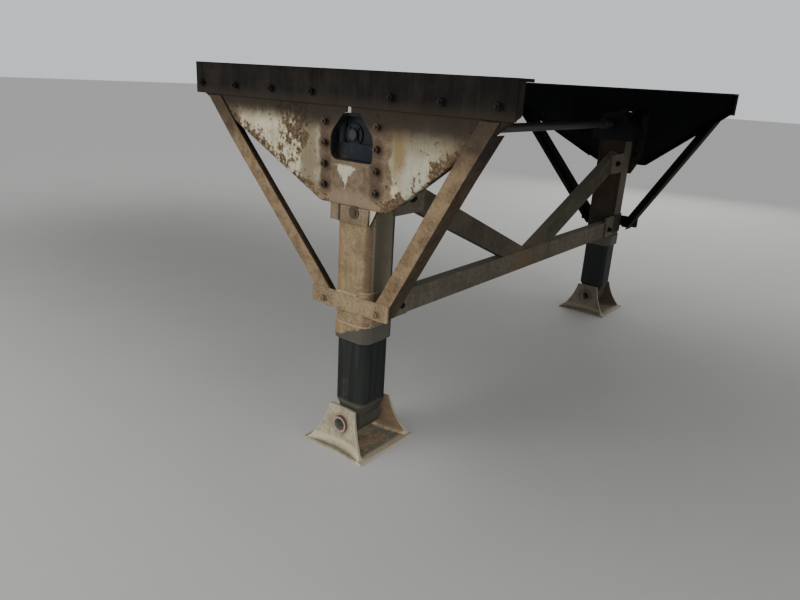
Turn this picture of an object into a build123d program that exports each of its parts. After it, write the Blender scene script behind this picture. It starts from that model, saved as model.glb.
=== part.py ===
from build123d import *
import os

# A pair of telescoping landing legs for a semi trailer, with wing plates, braces and a hand crank.
# Millimetres. +X points to the trailer's front, +Y to its left, +Z up.
# The origin lies on the bolting plane under the trailer's frame, midway between the two legs' axes.
# A depth is measured down from the bolting plane. Each leg is drawn with its own axis at y = 0 and
# its outboard side towards -Y, as the right leg stands, and the left leg is its mirror image.

# Stance
LEG_SPACING = 1988.0
STAND_DEPTH = 1200.0

# Outer tube, a square section with round corners
OUTER_TUBE_WIDTH = 140.0
OUTER_TUBE_CORNER = 31.0
OUTER_TUBE_WALL = 5.0
OUTER_TUBE_TOP_DEPTH = 260.0
OUTER_TUBE_LENGTH = 560.0
COLLAR_HEIGHT = 55.0
COLLAR_THICKNESS = 4.0

# Inner tube, which slides in the outer one
SLIDE_GAP = 1.5
INNER_TUBE_WALL = 6.0
INNER_TUBE_LAP = 310.0
FOOT_ABOVE_PIN = 52.0
FOOT_BEVEL = 15.0
SADDLE_RADIUS = 46.0
SADDLE_INSET = 11.0

# Foot pin, a short pipe across the leg
PIN_HEIGHT = 87.0
PIN_DIAMETER = 56.0
PIN_BORE = 43.0
PIN_STICKOUT = 17.0
PIN_CLEARANCE = 0.5

# Sand shoe, pressed from one plate
SHOE_LENGTH = 258.0
SHOE_WIDTH = 275.0
SHOE_SIDE_HOLLOW = 8.0
SHOE_THICKNESS = 8.0
SHOE_RIM = 10.0
EAR_FOOT_HOLLOW = 26.0
EAR_FOOT_BEND = 8.0
EAR_HEIGHT = 145.0
EAR_TOP_WIDTH = 110.0
EAR_GAP = 14.0
EAR_FLANK_HOLLOW = 12.0

# Wing plate, which hangs each leg from the frame
PLATE_THICKNESS = 6.0
PLATE_DEPTH = 386.0
PLATE_REAR = 719.0
PLATE_FRONT = 528.0
PLATE_END_DEPTH = 87.0
PLATE_FOOT_REAR = 124.0
PLATE_FOOT_FRONT = 147.0
PLATE_FOOT_CORNER = 30.0
PLATE_END_CORNER = 14.0
PLATE_LIP = 20.0
PLATE_BEND = 9.0
LIP_FOOT_GAP = 40.0

# Window in the wing plate, in front of the gearbox. Its foot stands a little above the tube's top.
WINDOW_FOOT_RISE = 6.0
WINDOW_HEIGHT = 137.0
WINDOW_SHOULDER_HEIGHT = 76.0
WINDOW_HALF_WIDTH = 83.0
WINDOW_TOP_HALF_WIDTH = 30.0
WINDOW_REAR_FOOT_CORNER = 28.0
WINDOW_FRONT_FOOT_CORNER = 12.0
WINDOW_SHOULDER_CORNER = 45.0
WINDOW_TOP_CORNER = 12.0
NOTCH_REARWARD = 12.0
NOTCH_WIDTH = 18.0
NOTCH_HEIGHT = 19.0

# Angle along the top of the wing plate, which bolts up to the crossmembers
TOP_ANGLE_HEIGHT = 100.0
TOP_ANGLE_WIDTH = 76.0
TOP_ANGLE_THICKNESS = 8.0
CROSSMEMBER_PITCH = 305.0
FRAME_BOLT_HOLE = 17.5
FRAME_BOLT_INSET = 44.0

# Flange between the leg and the wing plate
FLANGE_THICKNESS = 10.0
FLANGE_TOP_DEPTH = 125.0
FLANGE_WAIST_DEPTH = 342.0
FLANGE_REAR_SHOULDER_DEPTH = 385.0
FLANGE_FOOT_DEPTH = 436.0
FLANGE_HALF_WIDTH = 125.0
FLANGE_FOOT_FRONT = 76.0
FLANGE_FOOT_REAR = 82.0
FLANGE_CORNER = 10.0
FLANGE_WINDOW_MARGIN = 6.0

# Gearbox on top of the outer tube
GEARBOX_HEIGHT = 141.0
GEARBOX_SHOULDER_HEIGHT = 74.0
GEARBOX_HALF_WIDTH = 106.0
GEARBOX_TOP_HALF_WIDTH = 40.0
GEARBOX_CORNER = 14.0
GEARBOX_RECESS = 24.0
GEARBOX_RIM = 8.0
INBOARD_BOSS_DIAMETER = 54.0
OUTBOARD_BOSS_DIAMETER = 36.0
BOSS_LENGTH = 14.0
BEARING_PAD_DIAMETER = 64.0
BEARING_PAD_HEIGHT = 6.0
GEARBOX_STEP_HEIGHT = 55.0
GEARBOX_STEP_THICKNESS = 9.0
GEARBOX_STEP_END = 58.0
RIB_WIDTH = 30.0
RIB_REARWARD = 66.0

# Drive shafts, above the outer tube's top
SHAFT_RISE = 80.0
SHAFT_REARWARD = 20.0
CROSS_SHAFT_DIAMETER = 36.0
INPUT_SHAFT_DIAMETER = 25.0
SHAFT_CLEARANCE = 0.5
SHAFT_SEAT = 22.0
SHAFT_END_GAP = 5.0

# Crank, on the left leg
CRANK_OUTREACH = 305.0
CRANK_THROW = 330.0
CRANK_ROD = 20.0
CRANK_BAR_WIDTH = 32.0
CRANK_BAR_THICKNESS = 12.0
CRANK_HUB_DIAMETER = 42.0
CRANK_HUB_LENGTH = 44.0
GRIP_DIAMETER = 34.0
GRIP_LENGTH = 120.0
GRIP_END_MARGIN = 6.0

# Lower bracket, where the two side braces meet the leg
BRACKET_ABOVE_FOOT = 100.0
BRACKET_HEIGHT = 55.0
BRACKET_HALF_LENGTH = 160.0
BRACKET_THICKNESS = 6.0
BRACKET_CORNER = 8.0
STRAP_THICKNESS = 6.0
STRAP_ABOVE_BRACKET = 12.0
STRAP_BELOW_BRACKET = 25.0

# Side braces, angle section, flat behind the bracket at the foot and over the wing plate at the head
BRACE_WIDTH = 48.0
BRACE_FLANGE = 66.0
BRACE_THICKNESS = 6.0
BRACE_PLATE_GAP = 2.0
BRACE_TOP_GAP = 5.0
BRACE_TUBE_GAP = 3.0
BRACE_TAIL = 6.0
BRACE_KNEE_GAP = 30.0
FRONT_BRACE_FOOT = 119.0
FRONT_BRACE_HEAD = 458.0
REAR_BRACE_FOOT = 98.0
REAR_BRACE_HEAD = 625.0

# Cross bar and diagonals between the legs, channel section
CHANNEL_HEIGHT = 80.0
CHANNEL_FLANGE = 39.0
CHANNEL_THICKNESS = 6.0
CROSS_BAR_ABOVE_FOOT = 98.0
DIAGONAL_FOOT_DROP = 6.0
DIAGONAL_HEAD_DROP = 74.0
DIAGONAL_END_GAP = 40.0
CLIP_THICKNESS = 10.0
UPPER_CLIP_DROP = 38.0
UPPER_CLIP_HEIGHT = 98.0
UPPER_CLIP_LENGTH = 126.0
LOWER_CLIP_GAP = 5.0
LOWER_CLIP_HEIGHT = 105.0
LOWER_CLIP_LENGTH = 69.0

# Places that follow from the sizes above. Outboard distances are from the leg's own axis.
tube_side = OUTER_TUBE_WIDTH / 2
flange_side = tube_side + FLANGE_THICKNESS
plate_side = flange_side + PLATE_THICKNESS
brace_side = plate_side + BRACE_THICKNESS
tube_top = -OUTER_TUBE_TOP_DEPTH
tube_foot = tube_top - OUTER_TUBE_LENGTH
inner_width = OUTER_TUBE_WIDTH - 2 * OUTER_TUBE_WALL - 2 * SLIDE_GAP
inner_corner = OUTER_TUBE_CORNER - OUTER_TUBE_WALL
pin_level = PIN_HEIGHT - STAND_DEPTH
bracket_low = tube_foot + BRACKET_ABOVE_FOOT
bracket_top = bracket_low + BRACKET_HEIGHT
brace_top = -TOP_ANGLE_HEIGHT - BRACE_TOP_GAP
bar_level = tube_foot + CROSS_BAR_ABOVE_FOOT
diagonal_head = tube_top - DIAGONAL_HEAD_DROP
half_spacing = LEG_SPACING / 2
shaft_place = (-SHAFT_REARWARD, tube_top + SHAFT_RISE)
window_foot = tube_top + WINDOW_FOOT_RISE
web_front = tube_side - CLIP_THICKNESS


def outboard(distance):
    """Plane across the leg's outboard side: its own x runs forward, y up, and its normal outboard."""
    return Plane.XZ.offset(distance)


def slab(face, inner_side, outer_side):
    """Plate with the outline of face, between two outboard distances."""
    return extrude(outboard(inner_side) * face, outer_side - inner_side)


def block(x, y, z):
    """Box between the two ends given for each axis."""
    centre = [(a + b) / 2 for a, b in (x, y, z)]
    return Pos(*centre) * Box(*[abs(b - a) for a, b in (x, y, z)])


def closed_outline(corners, soften=fillet):
    """Face from a table of corners: x, z, corner radius, or chamfer length where soften is chamfer."""
    points = [(x, z) for x, z, size in corners]
    sizes = [size for x, z, size in corners]
    face = make_face(Polyline(*points, close=True))
    for (x, z), size in zip(points, sizes):
        if size:
            corner = face.vertices().sort_by_distance((x, z, 0))[0]
            face = soften(corner, size)
    return face


def square_tube(width, corner, wall, low, high):
    """Square tube with round corners, standing on the leg's axis."""
    section = RectangleRounded(width, width, corner) - RectangleRounded(
        width - 2 * wall, width - 2 * wall, corner - wall
    )
    return extrude(Plane.XY.offset(low) * section, high - low)


def round_post(width, corner, low, high):
    """Solid square post with round corners, standing on the leg's axis."""
    section = RectangleRounded(width, width, corner)
    return extrude(Plane.XY.offset(low) * section, high - low)


def leg_core():
    """The outer tube and its collar, filled, to trim what is welded to them."""
    collar_width = OUTER_TUBE_WIDTH + 2 * COLLAR_THICKNESS
    collar_corner = OUTER_TUBE_CORNER + COLLAR_THICKNESS
    core = round_post(OUTER_TUBE_WIDTH, OUTER_TUBE_CORNER, tube_foot, tube_top)
    return core + round_post(collar_width, collar_corner, tube_foot, tube_foot + COLLAR_HEIGHT)


def plate_outline(top):
    """Outline of the wing plate, up to the given height."""
    return closed_outline(
        [
            (-PLATE_REAR, top, 0),
            (-PLATE_REAR, -PLATE_END_DEPTH, PLATE_END_CORNER),
            (-PLATE_FOOT_REAR, -PLATE_DEPTH, PLATE_FOOT_CORNER),
            (PLATE_FOOT_FRONT, -PLATE_DEPTH, PLATE_FOOT_CORNER),
            (PLATE_FRONT, -PLATE_END_DEPTH, PLATE_END_CORNER),
            (PLATE_FRONT, top, 0),
        ]
    )


def window_outline():
    """Outline of the window: straight sides, sloping shoulders and a short flat top."""
    half = WINDOW_HALF_WIDTH
    top = window_foot + WINDOW_HEIGHT
    shoulder = window_foot + WINDOW_SHOULDER_HEIGHT
    return closed_outline(
        [
            (-half, window_foot, WINDOW_REAR_FOOT_CORNER),
            (half, window_foot, WINDOW_FRONT_FOOT_CORNER),
            (half, shoulder, WINDOW_SHOULDER_CORNER),
            (WINDOW_TOP_HALF_WIDTH, top, WINDOW_TOP_CORNER),
            (-WINDOW_TOP_HALF_WIDTH, top, WINDOW_TOP_CORNER),
            (-half, shoulder, WINDOW_SHOULDER_CORNER),
        ]
    )


def window_notch():
    """Outline of the round-topped notch in the window's upper edge."""
    radius = NOTCH_WIDTH / 2
    top = window_foot + WINDOW_HEIGHT
    stem = Pos(-NOTCH_REARWARD, top) * Rectangle(NOTCH_WIDTH, 2 * (NOTCH_HEIGHT - radius))
    return stem + Pos(-NOTCH_REARWARD, top + NOTCH_HEIGHT - radius) * Circle(radius)


def wing_plate():
    """Pressed plate with a bent lip along its ends and slopes, and none at its top or foot."""
    top = -TOP_ANGLE_THICKNESS
    lip_side = plate_side - PLATE_THICKNESS - PLATE_LIP
    pressing = slab(plate_outline(top), lip_side, plate_side)
    bends = [
        edge
        for edge in pressing.edges().filter_by_position(Axis.Y, -plate_side, -plate_side)
        if edge.center().Z < top - 1
    ]
    pressing = fillet(bends, PLATE_BEND)
    hollow = offset(plate_outline(top), -PLATE_THICKNESS)
    over_top = block(
        (PLATE_THICKNESS - PLATE_REAR, PLATE_FRONT - PLATE_THICKNESS),
        (-flange_side, -lip_side),
        (-PLATE_END_DEPTH / 2, top),
    )
    below_foot = block(
        (-PLATE_FOOT_REAR - LIP_FOOT_GAP, PLATE_FOOT_FRONT + LIP_FOOT_GAP),
        (-flange_side, -lip_side),
        (-PLATE_DEPTH, window_foot),
    )
    pressing -= slab(hollow, lip_side, flange_side) + over_top + below_foot
    return pressing - slab(window_outline() + window_notch(), flange_side, plate_side)


def top_angle():
    """Angle over the wing plate's outer face, its wide leg turned inboard under the frame."""
    outer = plate_side + TOP_ANGLE_THICKNESS
    ends = (-PLATE_REAR, PLATE_FRONT)
    upright = block(ends, (-outer, -plate_side), (-TOP_ANGLE_HEIGHT, 0))
    ledge = block(ends, (-outer, TOP_ANGLE_WIDTH - outer), (-TOP_ANGLE_THICKNESS, 0))
    angle = upright + ledge
    for place in (-1.5, -0.5, 0.5, 1.5):
        hole = Cylinder(FRAME_BOLT_HOLE / 2, 4 * TOP_ANGLE_THICKNESS)
        angle -= Pos(place * CROSSMEMBER_PITCH, FRAME_BOLT_INSET - outer, 0) * hole
    return angle


def outer_tube():
    """Outer tube with its capped top and the collar round its foot."""
    tube = square_tube(OUTER_TUBE_WIDTH, OUTER_TUBE_CORNER, OUTER_TUBE_WALL, tube_foot, tube_top)
    cap = round_post(OUTER_TUBE_WIDTH, OUTER_TUBE_CORNER, tube_top - OUTER_TUBE_WALL, tube_top)
    collar = square_tube(
        OUTER_TUBE_WIDTH + 2 * COLLAR_THICKNESS,
        OUTER_TUBE_CORNER + COLLAR_THICKNESS,
        COLLAR_THICKNESS,
        tube_foot,
        tube_foot + COLLAR_HEIGHT,
    )
    return tube + cap + collar


def mounting_flange():
    """Flange welded to the tube, with two arms that stand up beside the gearbox."""
    outline = closed_outline(
        [
            (-FLANGE_HALF_WIDTH, -FLANGE_TOP_DEPTH, 0),
            (-FLANGE_HALF_WIDTH, -FLANGE_WAIST_DEPTH, FLANGE_CORNER),
            (-FLANGE_FOOT_REAR, -FLANGE_REAR_SHOULDER_DEPTH, 0),
            (-FLANGE_FOOT_REAR, -FLANGE_FOOT_DEPTH, 0),
            (FLANGE_FOOT_FRONT, -FLANGE_FOOT_DEPTH, 0),
            (FLANGE_HALF_WIDTH, -FLANGE_WAIST_DEPTH, FLANGE_CORNER),
            (FLANGE_HALF_WIDTH, -FLANGE_TOP_DEPTH, 0),
        ]
    )
    flange = slab(outline, tube_side, flange_side)
    slot_half = WINDOW_HALF_WIDTH + FLANGE_WINDOW_MARGIN
    slot = block(
        (-slot_half, slot_half),
        (-flange_side, -tube_side),
        (window_foot - FLANGE_WINDOW_MARGIN, 0),
    )
    return flange - slot


def gearbox(with_input):
    """Cast housing with a sloping top, a pocket behind the window and a boss on each side.

    The pocket's face has a thicker lower part, an upright round rib and a bearing pad on it.
    """
    half = GEARBOX_HALF_WIDTH
    top = tube_top + GEARBOX_HEIGHT
    shoulder = tube_top + GEARBOX_SHOULDER_HEIGHT
    outline = closed_outline(
        [
            (-half, tube_top, 0),
            (half, tube_top, 0),
            (half, shoulder, GEARBOX_CORNER),
            (GEARBOX_TOP_HALF_WIDTH, top, GEARBOX_CORNER),
            (-GEARBOX_TOP_HALF_WIDTH, top, GEARBOX_CORNER),
            (-half, shoulder, GEARBOX_CORNER),
        ]
    )
    face_side = tube_side - GEARBOX_RECESS
    pocket = offset(outline, -GEARBOX_RIM) & window_outline()
    housing = slab(outline, -tube_side, tube_side) - slab(pocket, face_side, tube_side)
    step_top = tube_top + GEARBOX_STEP_HEIGHT
    step = block(
        (-half, GEARBOX_STEP_END), (-face_side - GEARBOX_STEP_THICKNESS, -face_side), (tube_top, step_top)
    )
    rib = Pos(-RIB_REARWARD, -face_side, (step_top + top) / 2) * Cylinder(RIB_WIDTH / 2, top - step_top)
    housing += (step + rib) & slab(outline, face_side, tube_side)
    pad = Pos(*shaft_place) * Circle(BEARING_PAD_DIAMETER / 2)
    housing += slab(pad, face_side, face_side + BEARING_PAD_HEIGHT)
    mouth = face_side + BOSS_LENGTH
    housing += slab(Pos(*shaft_place) * Circle(OUTBOARD_BOSS_DIAMETER / 2), face_side, mouth)
    far_mouth = -tube_side - BOSS_LENGTH
    housing += slab(Pos(*shaft_place) * Circle(INBOARD_BOSS_DIAMETER / 2), far_mouth, -tube_side)
    bore = Circle(CROSS_SHAFT_DIAMETER / 2 + SHAFT_CLEARANCE)
    housing -= slab(Pos(*shaft_place) * bore, far_mouth, far_mouth + SHAFT_SEAT + SHAFT_END_GAP)
    if with_input:
        bore = Circle(INPUT_SHAFT_DIAMETER / 2 + SHAFT_CLEARANCE)
        housing -= slab(Pos(*shaft_place) * bore, mouth - SHAFT_SEAT - SHAFT_END_GAP, mouth)
    return housing


def lower_bracket():
    """Flat bar across the tube's outboard face, with a strap round its front corner and over its front."""
    half = BRACKET_HALF_LENGTH
    face = closed_outline(
        [
            (-half, bracket_top, BRACKET_CORNER),
            (-half, bracket_low, BRACKET_CORNER),
            (half, bracket_low, BRACKET_CORNER),
            (half, bracket_top, BRACKET_CORNER),
        ]
    )
    bar = slab(face, tube_side, tube_side + BRACKET_THICKNESS)
    strap_side = tube_side + STRAP_THICKNESS
    strap_ends = (bracket_low - STRAP_BELOW_BRACKET, bracket_top + STRAP_ABOVE_BRACKET)
    strap = square_tube(
        2 * strap_side, OUTER_TUBE_CORNER + STRAP_THICKNESS, STRAP_THICKNESS, *strap_ends
    )
    flat = tube_side - OUTER_TUBE_CORNER
    reach = block((flat, strap_side), (-strap_side, flat), strap_ends)
    return bar + (strap & reach)


def side_brace(foot_x, head_x, plate_foot_x, plate_end_x):
    """Angle brace from the bracket up to the wing plate, with its flange along the lower edge.

    It lies flat on the bracket's inner face at its foot and on the wing plate's outer face at its
    head, and leans outboard between two slight bends, the heel and the knee. The knee stands below
    the point where the brace's upper edge comes to the wing plate's slope.
    """
    lean = 1 if head_x > 0 else -1
    foot = Vector(foot_x, (bracket_low + bracket_top) / 2)
    run = Vector(head_x, brace_top) - foot
    along = run.normalized()
    lower_side = Vector(along.Y, -along.X) * lean
    upper_edge = foot - lower_side * BRACE_WIDTH / 2
    plate_foot = Vector(plate_foot_x, -PLATE_DEPTH)
    slope = Vector(plate_end_x, -PLATE_END_DEPTH) - plate_foot
    meeting = (plate_foot - upper_edge).cross(slope).Z / along.cross(slope).Z
    stations = [
        (-BRACKET_HEIGHT - BRACE_WIDTH, tube_side),
        ((bracket_top + BRACE_WIDTH / 2 - foot.Y) / along.Y, tube_side),
        (meeting - BRACE_KNEE_GAP, brace_side),
        (run.length + BRACE_WIDTH, brace_side),
    ]
    line = Polyline(
        *[(foot.X + along.X * place, -side, foot.Y + along.Y * place) for place, side in stations]
    )
    section_plane = Plane(
        origin=line @ 0, x_dir=(lower_side.X, 0, lower_side.Y), z_dir=(along.X, 0, along.Y)
    )
    section = Pos(0, lean * BRACE_THICKNESS / 2) * Rectangle(BRACE_WIDTH, BRACE_THICKNESS)
    section += Pos((BRACE_WIDTH - BRACE_THICKNESS) / 2, lean * BRACE_FLANGE / 2) * Rectangle(
        BRACE_THICKNESS, BRACE_FLANGE
    )
    brace = sweep(section_plane * section, path=line, transition=Transition.RIGHT)
    depth = (-brace_side, BRACE_FLANGE)
    room = (-PLATE_REAR, PLATE_FRONT)
    beside = tube_side + STRAP_THICKNESS + BRACE_TUBE_GAP
    brace -= slab(offset(plate_outline(0), BRACE_PLATE_GAP), 0, plate_side)
    brace -= block(room, depth, (brace_top, 0))
    brace -= block(room, depth, (-STAND_DEPTH, bracket_low - BRACE_TAIL))
    return brace - block((-beside, beside), depth, (-STAND_DEPTH, 0))


def inner_tube():
    """Inner tube with a closed, bevelled foot, and a narrower saddle below it, rounded about the pin."""
    top = tube_foot + INNER_TUBE_LAP
    low = pin_level + FOOT_ABOVE_PIN
    tube = square_tube(inner_width, inner_corner, INNER_TUBE_WALL, low + FOOT_BEVEL, top)
    foot = round_post(inner_width, inner_corner, low, low + FOOT_BEVEL + INNER_TUBE_WALL)
    tube += chamfer(foot.faces().sort_by(Axis.Z)[0].edges(), FOOT_BEVEL)
    saddle_half = inner_width / 2 - SADDLE_INSET
    saddle_face = Pos(0, (low + pin_level) / 2) * Rectangle(2 * SADDLE_RADIUS, low - pin_level)
    saddle_face += Pos(0, pin_level) * Circle(SADDLE_RADIUS)
    saddle_face -= Pos(0, pin_level) * Circle(PIN_DIAMETER / 2)
    return tube + slab(saddle_face, -saddle_half, saddle_half)


def ear_side():
    """Outboard distance of the ears' outer faces at their top."""
    return inner_width / 2 + EAR_GAP + SHOE_THICKNESS


def shoe_pin():
    """Pipe through the inner tube and the shoe's ears."""
    pin_length = 2 * (ear_side() + PIN_STICKOUT)
    pipe = Cylinder(PIN_DIAMETER / 2, pin_length) - Cylinder(PIN_BORE / 2, pin_length)
    return Pos(0, 0, pin_level) * Rot(90, 0, 0) * pipe


def shoe_ear():
    """Ear that leans in from the sole, hollow towards the leg like part of a cone, with hollow flanks.

    Its section is turned about an upright line outboard of the shoe, so the foot is an arc, and
    both of its sides run into the sole in a bend.
    """
    half_chord = SHOE_LENGTH / 2 - SHOE_RIM
    foot_outer = SHOE_WIDTH / 2 - SHOE_RIM - EAR_FOOT_HOLLOW
    foot_inner = foot_outer - SHOE_THICKNESS
    arc_radius = (half_chord**2 + EAR_FOOT_HOLLOW**2) / (2 * EAR_FOOT_HOLLOW)
    section = closed_outline(
        [
            (ear_side() - SHOE_THICKNESS, EAR_HEIGHT, 0),
            (ear_side(), EAR_HEIGHT, 0),
            (foot_outer, SHOE_THICKNESS, EAR_FOOT_BEND),
            (SHOE_WIDTH / 2, SHOE_THICKNESS, 0),
            (SHOE_WIDTH / 2, SHOE_THICKNESS / 2, 0),
            (foot_inner - 2 * EAR_FOOT_BEND, SHOE_THICKNESS / 2, 0),
            (foot_inner - 2 * EAR_FOOT_BEND, SHOE_THICKNESS, 0),
            (foot_inner, SHOE_THICKNESS, EAR_FOOT_BEND),
        ],
        chamfer,
    )
    turning_line = Axis((0, foot_outer + arc_radius, 0), (0, 0, 1))
    ring = revolve(Plane.YZ * section, turning_line, 360)
    top_half = EAR_TOP_WIDTH / 2
    foot_half = SHOE_LENGTH / 2 - SHOE_RIM / 2
    middle = ((top_half + foot_half) / 2 - EAR_FLANK_HOLLOW, EAR_HEIGHT / 2)
    right = ThreePointArc((foot_half, 0), middle, (top_half, EAR_HEIGHT))
    left = mirror(right, about=Plane.YZ)
    flanks = make_face(
        [right, Line(right @ 1, left @ 1), left, Line(left @ 0, right @ 0)]
    )
    return ring & extrude(Plane.XZ * flanks, -SHOE_WIDTH / 2)


def sand_shoe():
    """Flat sole with two hollow sides, and an ear that rises along each of them."""
    half_length = SHOE_LENGTH / 2
    half_width = SHOE_WIDTH / 2
    side = ThreePointArc(
        (-half_length, half_width), (0, half_width - SHOE_SIDE_HOLLOW), (half_length, half_width)
    )
    other = mirror(side, about=Plane.XZ)
    sole_face = make_face(
        [side, other, Line(side @ 0, other @ 0), Line(side @ 1, other @ 1)]
    )
    ear = shoe_ear() & extrude(sole_face, EAR_HEIGHT)
    shoe = extrude(sole_face, SHOE_THICKNESS) + ear + mirror(ear, about=Plane.XZ)
    hole = Rot(90, 0, 0) * Cylinder(PIN_DIAMETER / 2 + PIN_CLEARANCE, 2 * SHOE_WIDTH)
    shoe -= Pos(0, 0, PIN_HEIGHT) * hole
    return Pos(0, 0, -STAND_DEPTH) * shoe


def channel(start, end):
    """Channel between two points in a plane across the trailer, web forward and flanges to the rear."""
    along = (end - start).normalized()
    section_plane = Plane(origin=start, x_dir=(1, 0, 0), z_dir=along)
    back = web_front - CHANNEL_FLANGE
    web_back = web_front - CHANNEL_THICKNESS
    inside_height = CHANNEL_HEIGHT - 2 * CHANNEL_THICKNESS
    section = Pos((back + web_front) / 2, 0) * Rectangle(CHANNEL_FLANGE, CHANNEL_HEIGHT)
    section -= Pos((back + web_back) / 2, 0) * Rectangle(web_back - back, inside_height)
    return extrude(section_plane * section, (end - start).length)


def clip(low, height, length):
    """Plate in front of a channel's web, flush with the tube's front and welded to its corner."""
    plate = block((web_front, tube_side), (0, tube_side + length), (low, low + height))
    return plate - leg_core()


def on_right(piece):
    """Piece drawn on the leg's own axis, set at the right leg."""
    return Pos(0, -half_spacing, 0) * piece


def on_left(piece):
    """Piece drawn on the leg's own axis, mirrored and set at the left leg."""
    return mirror(on_right(piece), about=Plane.XZ)


def cross_bar():
    """Level channel between the two outer tubes."""
    bar = channel(Vector(0, -half_spacing, bar_level), Vector(0, half_spacing, bar_level))
    return bar - on_right(leg_core()) - on_left(leg_core())


def diagonal():
    """Right-hand diagonal from the middle of the cross bar up to the right leg's upper clip."""
    foot = Vector(0, 0, bar_level - DIAGONAL_FOOT_DROP)
    head = Vector(0, tube_side - half_spacing, diagonal_head)
    along = (head - foot).normalized()
    strut = channel(foot - along * 2 * CHANNEL_HEIGHT, head - along * DIAGONAL_END_GAP)
    width = (web_front - CHANNEL_FLANGE, web_front)
    bar_top = bar_level + CHANNEL_HEIGHT / 2
    strut -= block(width, (-half_spacing, half_spacing), (-STAND_DEPTH, bar_top))
    return strut - block(width, (0, half_spacing), (-STAND_DEPTH, 0))


def cross_shaft():
    """Shaft between the two gearboxes, with a small gap at each end."""
    end = half_spacing - tube_side - BOSS_LENGTH + SHAFT_SEAT
    return extrude(outboard(-end) * Pos(*shaft_place) * Circle(CROSS_SHAFT_DIAMETER / 2), 2 * end)


def input_shaft():
    """Shaft from the left gearbox out to the crank."""
    mouth = tube_side - GEARBOX_RECESS + BOSS_LENGTH
    shaft = Circle(INPUT_SHAFT_DIAMETER / 2)
    start = mouth - SHAFT_SEAT
    return extrude(outboard(start) * Pos(*shaft_place) * shaft, CRANK_OUTREACH - start)


def crank_arm():
    """Hub, flat bar to the rear from its outer end, and a round rod outboard from the bar's end."""
    x, z = shaft_place
    inner_end = CRANK_OUTREACH - CRANK_HUB_LENGTH / 2
    outer_end = CRANK_OUTREACH + CRANK_HUB_LENGTH / 2
    hub = slab(Pos(x, z) * Circle(CRANK_HUB_DIAMETER / 2), inner_end, outer_end)
    bar_face = SlotCenterToCenter(CRANK_THROW, CRANK_BAR_WIDTH)
    bar = slab(Pos(x - CRANK_THROW / 2, z) * bar_face, outer_end - CRANK_BAR_THICKNESS, outer_end)
    rod = slab(
        Pos(x - CRANK_THROW, z) * Circle(CRANK_ROD / 2),
        outer_end,
        outer_end + GRIP_LENGTH + 2 * GRIP_END_MARGIN,
    )
    socket = slab(Pos(x, z) * Circle(INPUT_SHAFT_DIAMETER / 2), inner_end, CRANK_OUTREACH)
    return hub + bar + rod - socket


def crank_grip():
    """Sleeve on the crank's rod."""
    x, z = shaft_place
    start = CRANK_OUTREACH + CRANK_HUB_LENGTH / 2 + GRIP_END_MARGIN
    ring = Circle(GRIP_DIAMETER / 2) - Circle(CRANK_ROD / 2)
    return slab(Pos(x - CRANK_THROW, z) * ring, start, start + GRIP_LENGTH)


# One piece for each leg, drawn on the leg's own axis
leg_pieces = {
    "wing_plate": wing_plate(),
    "top_angle": top_angle(),
    "outer_tube": outer_tube(),
    "mounting_flange": mounting_flange(),
    "lower_bracket": lower_bracket(),
    "front_brace": side_brace(FRONT_BRACE_FOOT, FRONT_BRACE_HEAD, PLATE_FOOT_FRONT, PLATE_FRONT),
    "rear_brace": side_brace(-REAR_BRACE_FOOT, -REAR_BRACE_HEAD, -PLATE_FOOT_REAR, -PLATE_REAR),
    "upper_clip": clip(
        diagonal_head - UPPER_CLIP_DROP - UPPER_CLIP_HEIGHT / 2, UPPER_CLIP_HEIGHT, UPPER_CLIP_LENGTH
    ),
    "lower_clip": clip(
        tube_foot + COLLAR_HEIGHT + LOWER_CLIP_GAP, LOWER_CLIP_HEIGHT, LOWER_CLIP_LENGTH
    ),
    "inner_tube": inner_tube(),
    "shoe_pin": shoe_pin(),
    "sand_shoe": sand_shoe(),
}

nodes = {"right_gearbox": on_right(gearbox(False)), "left_gearbox": on_left(gearbox(True))}
for name, piece in leg_pieces.items():
    nodes["right_" + name] = on_right(piece)
    nodes["left_" + name] = on_left(piece)
nodes["cross_bar"] = cross_bar()
nodes["right_diagonal"] = diagonal()
nodes["left_diagonal"] = mirror(diagonal(), about=Plane.XZ)
nodes["cross_shaft"] = cross_shaft()
nodes["input_shaft"] = on_left(input_shaft())
nodes["crank_arm"] = on_left(crank_arm())
nodes["crank_grip"] = on_left(crank_grip())

os.makedirs("parts", exist_ok=True)
for name, solid in nodes.items():
    export_step(solid, "parts/" + name + ".step")
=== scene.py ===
import math
import random

import bmesh
import bpy
from mathutils import Matrix, Vector


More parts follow.
